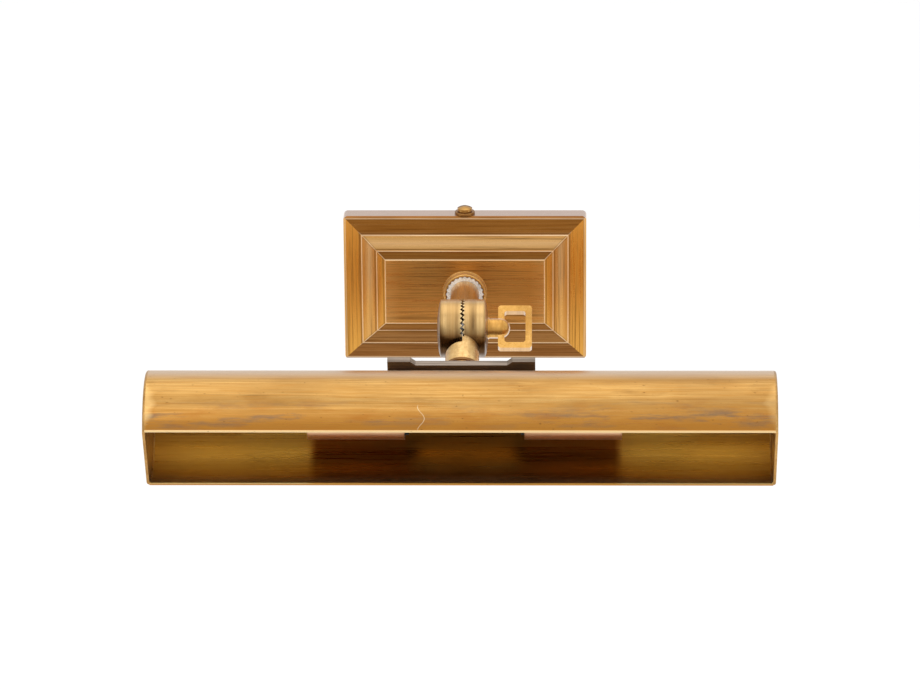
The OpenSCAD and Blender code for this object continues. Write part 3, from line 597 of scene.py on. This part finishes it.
@dataclass(frozen=True)
class PlainMetal:
    """Machined or plated metal with fine turning marks."""

    name: str
    colour: Colour
    rough: float = 0.3
    grime: float = 0.25
    metallic: float = 1.0

    def build(self) -> bpy.types.Material:
        """Builds the material.

        Returns:
            The material, made once under its name.
        """
        if self.name in bpy.data.materials:
            return bpy.data.materials[self.name]
        material = bpy.data.materials.new(self.name)
        material.use_nodes = True
        g = Graph(material.node_tree)
        shader = material.node_tree.nodes["Principled BSDF"]
        coord = g.add("ShaderNodeTexCoord").outputs["Object"]
        cloud = g.noise(coord, (160.0, 160.0, 160.0), 5.0, 0.6)
        marks = g.noise(coord, (900.0, 900.0, 900.0), 3.0, 0.6, 4.0)
        dull = tuple(c * 0.45 for c in self.colour)
        g.join(g.mix(g.math("MULTIPLY", g.remap(cloud, 0.42, 0.7), self.grime), self.colour, dull),
               shader.inputs["Base Color"])
        shader.inputs["Metallic"].default_value = self.metallic
        g.join(g.remap(marks, 0.3, 0.7, self.rough - 0.06, self.rough + 0.1), shader.inputs["Roughness"])
        bump = g.add("ShaderNodeBump")
        bump.inputs["Strength"].default_value = 0.15
        bump.inputs["Distance"].default_value = 0.03 * MM
        g.join(marks, bump.inputs["Height"])
        g.join(bump.outputs["Normal"], shader.inputs["Normal"])
        return material


LAMP_CAP = PlainMetal("lamp_cap_metal", (0.72, 0.70, 0.66), 0.3)


@dataclass(frozen=True)
class Moulding:
    """Moulded plastic, phenolic or wire insulation with a fine orange-peel skin."""

    name: str
    colour: Colour
    rough: float = 0.4

    def build(self) -> bpy.types.Material:
        """Builds the material.

        Returns:
            The material, made once under its name.
        """
        if self.name in bpy.data.materials:
            return bpy.data.materials[self.name]
        material = bpy.data.materials.new(self.name)
        material.use_nodes = True
        g = Graph(material.node_tree)
        shader = material.node_tree.nodes["Principled BSDF"]
        coord = g.add("ShaderNodeTexCoord").outputs["Object"]
        skin = g.noise(coord, (700.0, 700.0, 700.0), 3.0, 0.5)
        dust = g.noise(coord, (90.0, 90.0, 90.0), 4.0, 0.6, 2.0)
        wear_and_highlight = tuple(c * 0.8 + 0.02 for c in self.colour)
        g.join(g.mix(g.remap(dust, 0.4, 0.7), self.colour, wear_and_highlight), shader.inputs["Base Color"])
        g.join(g.remap(skin, 0.3, 0.7, self.rough - 0.05, self.rough + 0.08), shader.inputs["Roughness"])
        bump = g.add("ShaderNodeBump")
        bump.inputs["Strength"].default_value = 0.2
        bump.inputs["Distance"].default_value = 0.04 * MM
        g.join(skin, bump.inputs["Height"])
        g.join(bump.outputs["Normal"], shader.inputs["Normal"])
        return material


@dataclass(frozen=True)
class ClearGlass:
    """Clear lamp glass with a faint waviness."""

    name: str = "lamp_clear_glass"

    def build(self) -> bpy.types.Material:
        """Builds the material.

        Returns:
            The material, made once under its name.
        """
        if self.name in bpy.data.materials:
            return bpy.data.materials[self.name]
        material = bpy.data.materials.new(self.name)
        material.use_nodes = True
        g = Graph(material.node_tree)
        shader = material.node_tree.nodes["Principled BSDF"]
        shader.inputs["Base Color"].default_value = (0.97, 0.985, 0.98, 1.0)
        shader.inputs["Transmission Weight"].default_value = 1.0
        shader.inputs["IOR"].default_value = 1.47
        coord = g.add("ShaderNodeTexCoord").outputs["Object"]
        haze = g.noise(coord, (60.0, 60.0, 60.0), 2.0, 0.5)
        g.join(g.remap(haze, 0.4, 0.7, 0.02, 0.06), shader.inputs["Roughness"])
        bump = g.add("ShaderNodeBump")
        bump.inputs["Strength"].default_value = 0.05
        bump.inputs["Distance"].default_value = 0.1 * MM
        g.join(haze, bump.inputs["Height"])
        g.join(bump.outputs["Normal"], shader.inputs["Normal"])
        return material


# ---------------------------------------------------------------- the light's sub-assemblies


def dress(finish: object, *names: str) -> None:
    """Gives CAD nodes a finish.

    Args:
        finish: an object whose build method returns a material.
        names: the CAD nodes.
    """
    material = finish.build()
    for name in names:
        data = frame["nodes"][name].data
        data.materials.clear()
        data.materials.append(material)


def deselect() -> None:
    """Deselects everything, so that the next operator acts on the new piece alone."""
    bpy.ops.object.select_all(action="DESELECT")


def select_slice(place: Vector, along: Vector, half_width: float) -> None:
    """Selects the active piece's vertices near a plane, and leaves it in edit mode.

    Args:
        place: a point on the plane.
        along: the plane's normal.
        half_width: how far from the plane a vertex may lie, in metres.
    """
    bpy.ops.object.mode_set(mode="EDIT")
    bpy.ops.mesh.select_mode(type="VERT")
    bpy.ops.mesh.select_all(action="DESELECT")
    bpy.ops.object.mode_set(mode="OBJECT")
    for vertex in bpy.context.object.data.vertices:
        vertex.select = abs((vertex.co - place).dot(along)) < half_width
    bpy.ops.object.mode_set(mode="EDIT")


def settle(name: str, finish: object, body: str, smooth_angle: float = 40.0) -> bpy.types.Object:
    """Names the active piece, applies its place, smooths it, dresses it and gives it to a body.

    Args:
        name: the piece's name.
        finish: an object whose build method returns a material.
        body: the CAD body that it rides.
        smooth_angle: edges flatter than this are shaded smooth, in degrees.

    Returns:
        The finished piece.
    """
    piece = bpy.context.object
    piece.name = name
    bpy.ops.object.transform_apply(location=True, rotation=True, scale=True)
    bpy.ops.object.shade_smooth_by_angle(angle=math.radians(smooth_angle))
    piece.data.materials.clear()
    piece.data.materials.append(finish.build())
    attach(piece, body)
    log.info("%s: %d faces", name, len(piece.data.polygons))
    return piece


def wind(start: Vector, radius: float, wire: float, pitch: float, turns: int, steps: int, sides: int,
         stretch: float = 1.0) -> None:
    """Winds a round wire into a helix along x, as the active object.

    Args:
        start: the helix's axis at its first turn.
        radius: radius of the wire's centre line.
        wire: radius of the wire.
        pitch: advance per turn.
        turns: number of turns.
        steps: steps in one turn.
        sides: sides of the wire.
        stretch: widens the wire's section along the axis.
    """
    deselect()
    bpy.ops.mesh.primitive_circle_add(vertices=sides, radius=wire, rotation=(math.radians(90), 0, 0))
    bpy.ops.object.transform_apply(location=False, rotation=True, scale=False)
    bpy.ops.object.mode_set(mode="EDIT")
    bpy.ops.mesh.select_all(action="SELECT")
    bpy.ops.transform.resize(value=(stretch, 1.0, 1.0))
    bpy.ops.transform.translate(value=(0.0, 0.0, radius))
    bpy.ops.object.mode_set(mode="OBJECT")
    coil = bpy.context.object
    screw = coil.modifiers.new("turns", "SCREW")
    screw.axis = "X"
    screw.screw_offset = pitch
    screw.iterations = turns
    screw.steps = screw.render_steps = steps
    screw.use_merge_vertices = False
    bpy.ops.object.modifier_apply(modifier=screw.name)
    bpy.ops.object.mode_set(mode="EDIT")
    bpy.ops.mesh.select_all(action="SELECT")
    bpy.ops.mesh.fill_holes(sides=sides)
    bpy.ops.mesh.select_all(action="SELECT")
    bpy.ops.mesh.normals_make_consistent(inside=False)
    bpy.ops.object.mode_set(mode="OBJECT")
    coil.location = start


def rod(start: Vector, end: Vector, radius: float, sides: int = 24) -> None:
    """Adds a round bar between two points, with eased ends, as the active object.

    Args:
        start: the first end's middle.
        end: the second end's middle.
        radius: the bar's radius.
        sides: sides of the bar.
    """
    deselect()
    along = end - start
    bpy.ops.mesh.primitive_cylinder_add(vertices=sides, radius=radius, depth=along.length,
                                        location=(start + end) / 2,
                                        rotation=along.to_track_quat("Z", "Y").to_euler())
    bevel = bpy.context.object.modifiers.new("eased_ends", "BEVEL")
    bevel.width = radius * 0.25
    bevel.segments = 2
    bpy.ops.object.modifier_apply(modifier=bevel.name)


def place_of(joint: str) -> Vector:
    """Gives a joint's point at rest, in metres."""
    return next(Vector(j["pos_m"]) for j in frame["joints"] if j["name"] == joint)


@dataclass
class WallMount:
    """Wall plate, bracket, cap screw and the wiring behind the plate."""

    plate: str = "wall_plate"

    def dress(self) -> None:
        """Gives the wall side its finishes."""
        dress(PlateBrass("plate_aged_brass", patina=0.45, smudge=0.3, light=(0.80, 0.48, 0.17),
                         body=(0.42, 0.20, 0.05), glancing_sheen=(0.80, 0.68, 0.62), bump=0.5), self.plate)
        dress(AgedBrass("cap_aged_brass", patina=0.6, smudge=0.7, light=(0.66, 0.38, 0.12),
                        body=(0.40, 0.20, 0.05), pale=0.3), "cap_screw")
        dress(AgedBrass("collar_dark_brass", light=(0.4, 0.2, 0.06), body=(0.25, 0.11, 0.03),
                        dark=(0.08, 0.03, 0.01), pale=0.0), "cap_collar")
        dress(PlainMetal("zinc_steel", (0.62, 0.63, 0.65)), "mounting_bracket", "arm_washer",
              "lampholder_bracket", "saddle_screws", "clamp_stud")
        dress(PlainMetal("plain_brass", (0.75, 0.52, 0.22)), "arm_nipple", "arm_nut", "terminal_screws",
              "earth_screw", "neck_nipple", "neck_nut", "lampholder_nipples", "lampholder_nuts",
              "lampholder_shell_left", "lampholder_shell_right",
              "lampholder_contact_left", "lampholder_contact_right")
        dress(Moulding("terminal_moulding", (0.72, 0.69, 0.58)), "terminal_block")
        dress(Moulding("wire_insulation", (0.72, 0.62, 0.42), 0.5), "arm_wires", "head_wires")
        log.info("wall mount dressed")


@dataclass
class Arm:
    """Ferrule, lock ring, arm tube and knuckle with its key."""

    def dress(self) -> None:
        """Gives the arm, the knuckle and the key their finishes."""
        pivot = tuple(place_of("head_tilt"))
        dress(AgedBrass("ferrule_aged_brass", patina=0.25, smudge=0.2), "arm_ferrule")
        dress(PlainMetal("lock_ring_steel", (1.0, 1.0, 1.0), 0.25, 0.7, 0.3), "arm_lock_ring")
        dress(AgedBrass("arm_tube_brass", grain=Grain.ALONG_Y, light=(0.98, 0.62, 0.20),
                        body=(0.84, 0.47, 0.12), dark=(0.18, 0.08, 0.025), pale=0.2), "arm_tube")
        dress(KnuckleBrass("knuckle_brass", grain=Grain.AROUND_X, centre=pivot, patina=0.35, smudge=0.5,
                           light=(0.90, 0.62, 0.28), body=(0.66, 0.40, 0.15), dark=(0.07, 0.028, 0.008),
                           pale=0.25),
              "fixed_knuckle_half", "moving_knuckle_half")
        dress(AgedBrass("key_brass", grain=Grain.AROUND_X, centre=pivot, patina=0.45, smudge=0.6,
                        light=(0.92, 0.54, 0.17), body=(0.66, 0.34, 0.075), dark=(0.30, 0.12, 0.02),
                        pale=0.8),
              "clamp_washer", "clamp_key")
        log.info("arm and knuckle dressed")


@dataclass
class Lamp:
    """One tubular lamp: glass stem, leads, coiled filament and rolled screw thread."""

    side: str
    stem_radius: float = 2.3 * MM
    stem_len: float = 30.0 * MM
    stem_pinch: tuple[tuple[float, float], ...] = ((0.45, 1.0), (0.6, 0.85), (0.75, 0.5), (0.88, 0.4))
    lead_radius: float = 0.25 * MM
    lead_spread: float = 1.5 * MM
    coil_radius: float = 0.75 * MM
    coil_wire: float = 0.13 * MM
    coil_pitch: float = 0.55 * MM
    thread_radius: float = 6.35 * MM
    thread_crest: float = 0.85 * MM
    thread_pitch: float = 2.8 * MM

    def build(self) -> None:
        """Builds the pieces in the lamp's glass and on its base."""
        outward = -1.0 if self.side == "left" else 1.0
        low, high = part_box(f"lamp_filament_{self.side}")
        axis = (low + high) / 2
        inner, outer = (high.x, low.x) if outward < 0 else (low.x, high.x)
        root = Vector((inner, axis.y, axis.z))
        along = Vector((outward, 0.0, 0.0))
        self.build_stem(root, along)
        self.build_filament(root, along, abs(outer - inner))
        self.build_thread(along)

    def build_stem(self, root: Vector, along: Vector) -> None:
        """Builds the glass stem, pinched flat where the leads come out.

        Args:
            root: the stem's inner end.
            along: the lamp's direction.
        """
        rod(root, root + along * self.stem_len, self.stem_radius)
        bpy.ops.object.transform_apply(location=True, rotation=True, scale=True)
        bpy.ops.object.mode_set(mode="EDIT")
        for share, _ in self.stem_pinch:
            bpy.ops.mesh.select_all(action="SELECT")
            bpy.ops.mesh.bisect(plane_co=root + along * self.stem_len * share, plane_no=along)
        for share, pinch in (*self.stem_pinch, (1.0, self.stem_pinch[-1][1])):
            select_slice(root + along * self.stem_len * share, along, self.stem_len * 0.04)
            bpy.ops.transform.resize(value=(1.0, 1.0, pinch), center_override=root)
        bpy.ops.object.mode_set(mode="OBJECT")
        stem = settle(f"lamp_stem_{self.side}", ClearGlass("lamp_stem_glass"), "head")
        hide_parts(f"lamp_filament_{self.side}")

    def build_filament(self, root: Vector, along: Vector, length: float) -> None:
        """Builds the two leads, the middle support and the coil between them.

        Args:
            root: the stem's inner end.
            along: the lamp's direction.
            length: distance from the stem's inner end to the filament's far end.
        """
        tungsten = PlainMetal("lamp_tungsten", (0.55, 0.53, 0.50), 0.35)
        near = self.stem_len - 1.5 * MM
        far = length - 1.0 * MM
        middle = self.stem_len + 3.0 * MM
        for name, spread, reach in (("long", -self.lead_spread, far), ("short", self.lead_spread, middle)):
            side = Vector((0.0, spread, 0.0))
            rod(root + along * near + side, root + along * reach + side, self.lead_radius, 10)
            settle(f"lamp_lead_{name}_{self.side}", tungsten, "head")
            rod(root + along * reach + side * 1.15, root + along * reach - side * 0.1, self.lead_radius, 10)
            settle(f"lamp_hook_{name}_{self.side}", tungsten, "head")
        turns = int((far - middle) / self.coil_pitch)
        first = root + along * (far if along.x < 0 else middle)
        wind(first, self.coil_radius, self.coil_wire, self.coil_pitch, turns, 14, 6)
        settle(f"lamp_coil_{self.side}", tungsten, "head", 60.0)

    def build_thread(self, along: Vector) -> None:
        """Builds the rolled thread around the lamp's base.

        Args:
            along: the lamp's direction.
        """
        low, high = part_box(f"lamp_base_{self.side}")
        axis = (low + high) / 2
        turns = 4
        inner = high.x if along.x < 0 else low.x
        first = inner + along.x * 4.5 * MM
        start_x = first if along.x > 0 else first - turns * self.thread_pitch
        wind(Vector((start_x, axis.y, axis.z)), self.thread_radius - self.thread_crest * 0.2,
             self.thread_crest, self.thread_pitch, turns, 48, 12, 1.25)
        settle(f"lamp_thread_{self.side}", LAMP_CAP, "head", 60.0)


@dataclass
class Head:
    """Neck, saddle, shade, lampholders and lamps."""

    seam_radius: float = 0.55 * MM
    seam_roughness: float = 0.16 * MM
    sheet: float = 0.9 * MM
    rim_radius: float = 0.42 * MM

    def shade_axis(self) -> tuple[Vector, float]:
        """Gives the shade's axis at its middle, and its outer radius, from an end cap's box."""
        low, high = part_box("end_cap_left")
        radius = (high.z - low.z) / 2
        return Vector((0.0, high.y - radius, high.z - radius)), radius

    def dress(self) -> None:
        """Gives the head its finishes."""
        dress(AgedBrass("neck_dark_brass", light=(0.3, 0.16, 0.06), body=(0.2, 0.09, 0.03),
                        dark=(0.06, 0.03, 0.01)), "neck_ring")
        dress(AgedBrass("neck_brass", patina=0.35, light=(0.86, 0.54, 0.21), body=(0.62, 0.34, 0.10)),
              "neck_socket")
        # The saddle is given a dark bluish brown all over.
        dress(AgedBrass("saddle_dark_brass", light=(0.52, 0.43, 0.35), body=(0.235, 0.18, 0.14),
                        dark=(0.045, 0.05, 0.055), rough_low=0.4, rough_high=0.6, pale=0.3), "saddle_plate")
        axis, radius = self.shade_axis()
        low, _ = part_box("end_cap_left")
        dress(ShadeBrass("shade_aged_brass", centre=tuple(axis), radius=radius, half_length=-low.x,
                         patina=0.3, smudge=0.35, light=(0.70, 0.42, 0.14), body=(0.52, 0.27, 0.07),
                         glancing_sheen=(0.84, 0.65, 0.48)), "shade_body")
        dress(AgedBrass("end_cap_brass", grain=Grain.ALONG_Z, patina=0.35, smudge=0.45,
                        light=(0.66, 0.40, 0.14), body=(0.46, 0.24, 0.07), pale=0.12),
              "end_cap_left", "end_cap_right")
        dress(self.sleeve_finish(), "lampholder_sleeve_left", "lampholder_sleeve_right")
        dress(Moulding("black_phenolic", (0.02, 0.018, 0.016)),
              "lampholder_core_left", "lampholder_core_right")
        dress(LAMP_CAP, "lamp_base_left", "lamp_base_right")
        dress(ClearGlass(), "lamp_glass_left", "lamp_glass_right")
        log.info("head dressed")

    def sleeve_finish(self) -> AgedBrass:
        """Gives the lampholder sleeves' coppery finish."""
        return AgedBrass("sleeve_brass", light=(0.98, 0.66, 0.42), body=(0.78, 0.44, 0.24),
                         patina=0.2, pale=0.2)

    def build(self) -> None:
        """Builds the solder seams, the sleeves' rolled rims and both lamps."""
        for side in ("left", "right"):
            self.build_seam(side)
            self.build_rims(side)
            Lamp(side).build()

    def build_seam(self, side: str) -> None:
        """Builds the uneven solder seam in the corner between the shade and an end cap.

        Args:
            side: left or right.
        """
        axis, radius = self.shade_axis()
        low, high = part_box(f"end_cap_{side}")
        inner_x = high.x if side == "left" else low.x
        inward = 1.0 if side == "left" else -1.0
        facing = (axis - place_of("head_tilt")).normalized()
        slope = math.atan2(-facing.z, -facing.y)
        half_angle = math.acos((axis.y - low.y) / radius) + slope
        deselect()
        bpy.ops.mesh.primitive_torus_add(
            major_segments=320, minor_segments=12, major_radius=radius - self.sheet - self.seam_radius * 0.45,
            minor_radius=self.seam_radius,
            location=(inner_x + inward * self.seam_radius * 0.45, axis.y, axis.z),
            rotation=(0.0, math.radians(90), 0.0))
        bpy.ops.object.transform_apply(location=True, rotation=True, scale=True)
        bpy.ops.object.mode_set(mode="EDIT")
        bpy.ops.mesh.select_all(action="SELECT")
        bpy.ops.mesh.bisect(plane_co=axis + facing * (radius * math.cos(half_angle) - 0.3 * MM),
                            plane_no=facing, clear_outer=True, use_fill=True)
        bpy.ops.mesh.select_all(action="SELECT")
        bpy.ops.transform.vertex_random(offset=self.seam_roughness, uniform=0.2, normal=0.8,
                                        seed=3 if side == "left" else 8)
        bpy.ops.mesh.select_all(action="SELECT")
        bpy.ops.mesh.vertices_smooth(factor=0.5, repeat=1)
        bpy.ops.object.mode_set(mode="OBJECT")
        solder = AgedBrass("solder_brass", light=(0.92, 0.68, 0.36), body=(0.6, 0.36, 0.12), patina=0.6)
        settle(f"solder_seam_{side}", solder, "head", 80.0)

    def build_rims(self, side: str) -> None:
        """Builds the rolled rims at both ends of a lampholder sleeve.

        Args:
            side: left or right.
        """
        low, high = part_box(f"lampholder_sleeve_{side}")
        axis = (low + high) / 2
        radius = (high.z - low.z) / 2
        inner_x, outer_x = (high.x, low.x) if side == "left" else (low.x, high.x)
        for end, x in (("inner", inner_x), ("outer", outer_x)):
            inward = math.copysign(self.rim_radius, axis.x - x)
            deselect()
            bpy.ops.mesh.primitive_torus_add(
                major_segments=96, minor_segments=10, major_radius=radius - self.rim_radius * 0.55,
                minor_radius=self.rim_radius, location=(x + inward, axis.y, axis.z),
                rotation=(0.0, math.radians(90), 0.0))
            settle(f"sleeve_rim_{end}_{side}", self.sleeve_finish(), "head", 60.0)


# ---------------------------------------------------------------- stage


@dataclass
class Studio:
    """Floor, soft lights and the camera."""

    azimuth: float = 1.3
    elevation: float = 20.0
    distance: float = 2.85
    lens: float = 196.0
    roll: float = -0.42
    aim_right: float = -1.6 * MM
    aim_up: float = -9.5 * MM
    floor_drop: float = 0.42
    floor_size: float = 14.0
    surround: float = 1.1

    def build(self) -> None:
        """Builds the floor, the lights, the world and the camera."""
        deselect()
        bpy.ops.mesh.primitive_plane_add(size=self.floor_size, location=(0, 0, cad_low.z - self.floor_drop))
        floor = bpy.context.object
        floor.name = "studio_floor"
        paper = bpy.data.materials.new("pale_paper")
        paper.use_nodes = True
        g = Graph(paper.node_tree)
        shader = paper.node_tree.nodes["Principled BSDF"]
        fibre = g.noise(g.add("ShaderNodeTexCoord").outputs["Object"], (9.0, 9.0, 9.0), 3.0)
        g.join(g.mix(fibre, (0.96, 0.96, 0.96), (0.98, 0.98, 0.98)), shader.inputs["Base Color"])
        shader.inputs["Roughness"].default_value = 0.9
        floor.data.materials.append(paper)
        self.add_light("key_light", (-0.9, -1.6, 1.9), 1.6, 5.0)
        self.add_light("fill_light", (1.6, -1.8, 0.7), 1.4, 2.0)
        self.add_light("top_light", (0.2, 0.4, 2.2), 1.8, 5.0)
        self.build_world()
        self.build_camera()
        log.info("studio built")

    def add_light(self, name: str, place: Point, size: float, power: float) -> None:
        """Adds a soft square light that faces the object.

        Args:
            name: the light's name.
            place: its position in metres.
            size: its side in metres.
            power: its power in watts.
        """
        bpy.ops.object.light_add(type="AREA", location=place)
        light = bpy.context.object
        light.name = name
        light.data.size = size
        light.data.energy = power
        target = (cad_low + cad_high) / 2
        light.rotation_euler = (target - Vector(place)).to_track_quat("-Z", "Y").to_euler()

    def build_world(self) -> None:
        """Builds a pale surround, darker near the horizon."""
        world = bpy.data.worlds.new("studio_world")
        bpy.context.scene.world = world
        world.use_nodes = True
        g = Graph(world.node_tree)
        back = world.node_tree.nodes["Background"]
        split = g.add("ShaderNodeSeparateXYZ")
        g.join(g.add("ShaderNodeTexCoord").outputs["Generated"], split.inputs[0])
        ramp = g.add("ShaderNodeValToRGB")
        g.join(g.remap(split.outputs[2], -1.0, 1.0), ramp.inputs[0])
        stops = ((0.0, 0.9), (0.49, 0.72), (0.60, 0.66), (0.78, 0.92), (1.0, 1.0))
        ramp.color_ramp.elements[0].position = stops[0][0]
        ramp.color_ramp.elements[1].position = stops[-1][0]
        for place, _ in stops[1:-1]:
            ramp.color_ramp.elements.new(place)
        for element, (_, level) in zip(ramp.color_ramp.elements, stops):
            element.color = (level, level, level, 1.0)
        g.join(ramp.outputs[0], back.inputs["Color"])
        back.inputs["Strength"].default_value = self.surround

    def build_camera(self) -> None:
        """Places the camera in front of the knuckle and a little above it."""
        az, el = math.radians(self.azimuth), math.radians(self.elevation)
        back = Vector((math.sin(az) * math.cos(el), -math.cos(az) * math.cos(el), math.sin(el)))
        turn = (-back).to_track_quat("-Z", "Y") @ Quaternion((0.0, 0.0, 1.0), math.radians(self.roll))
        aim = place_of("head_tilt") + turn @ Vector((self.aim_right, self.aim_up, 0.0))
        data = bpy.data.cameras.new("studio_camera")
        camera = bpy.data.objects.new("studio_camera", data)
        bpy.context.scene.collection.objects.link(camera)
        data.lens = self.lens
        data.clip_start, data.clip_end = 0.05, 60.0
        camera.location = aim + back * self.distance
        camera.rotation_euler = turn.to_euler()
        bpy.context.scene.camera = camera


def main() -> None:
    """Builds and dresses the whole light, then the studio around it."""
    WallMount().dress()
    Arm().dress()
    head = Head()
    head.dress()
    head.build()
    Studio().build()
    bpy.context.scene.view_settings.view_transform = "Standard"


if __name__ == "__main__":
    main()
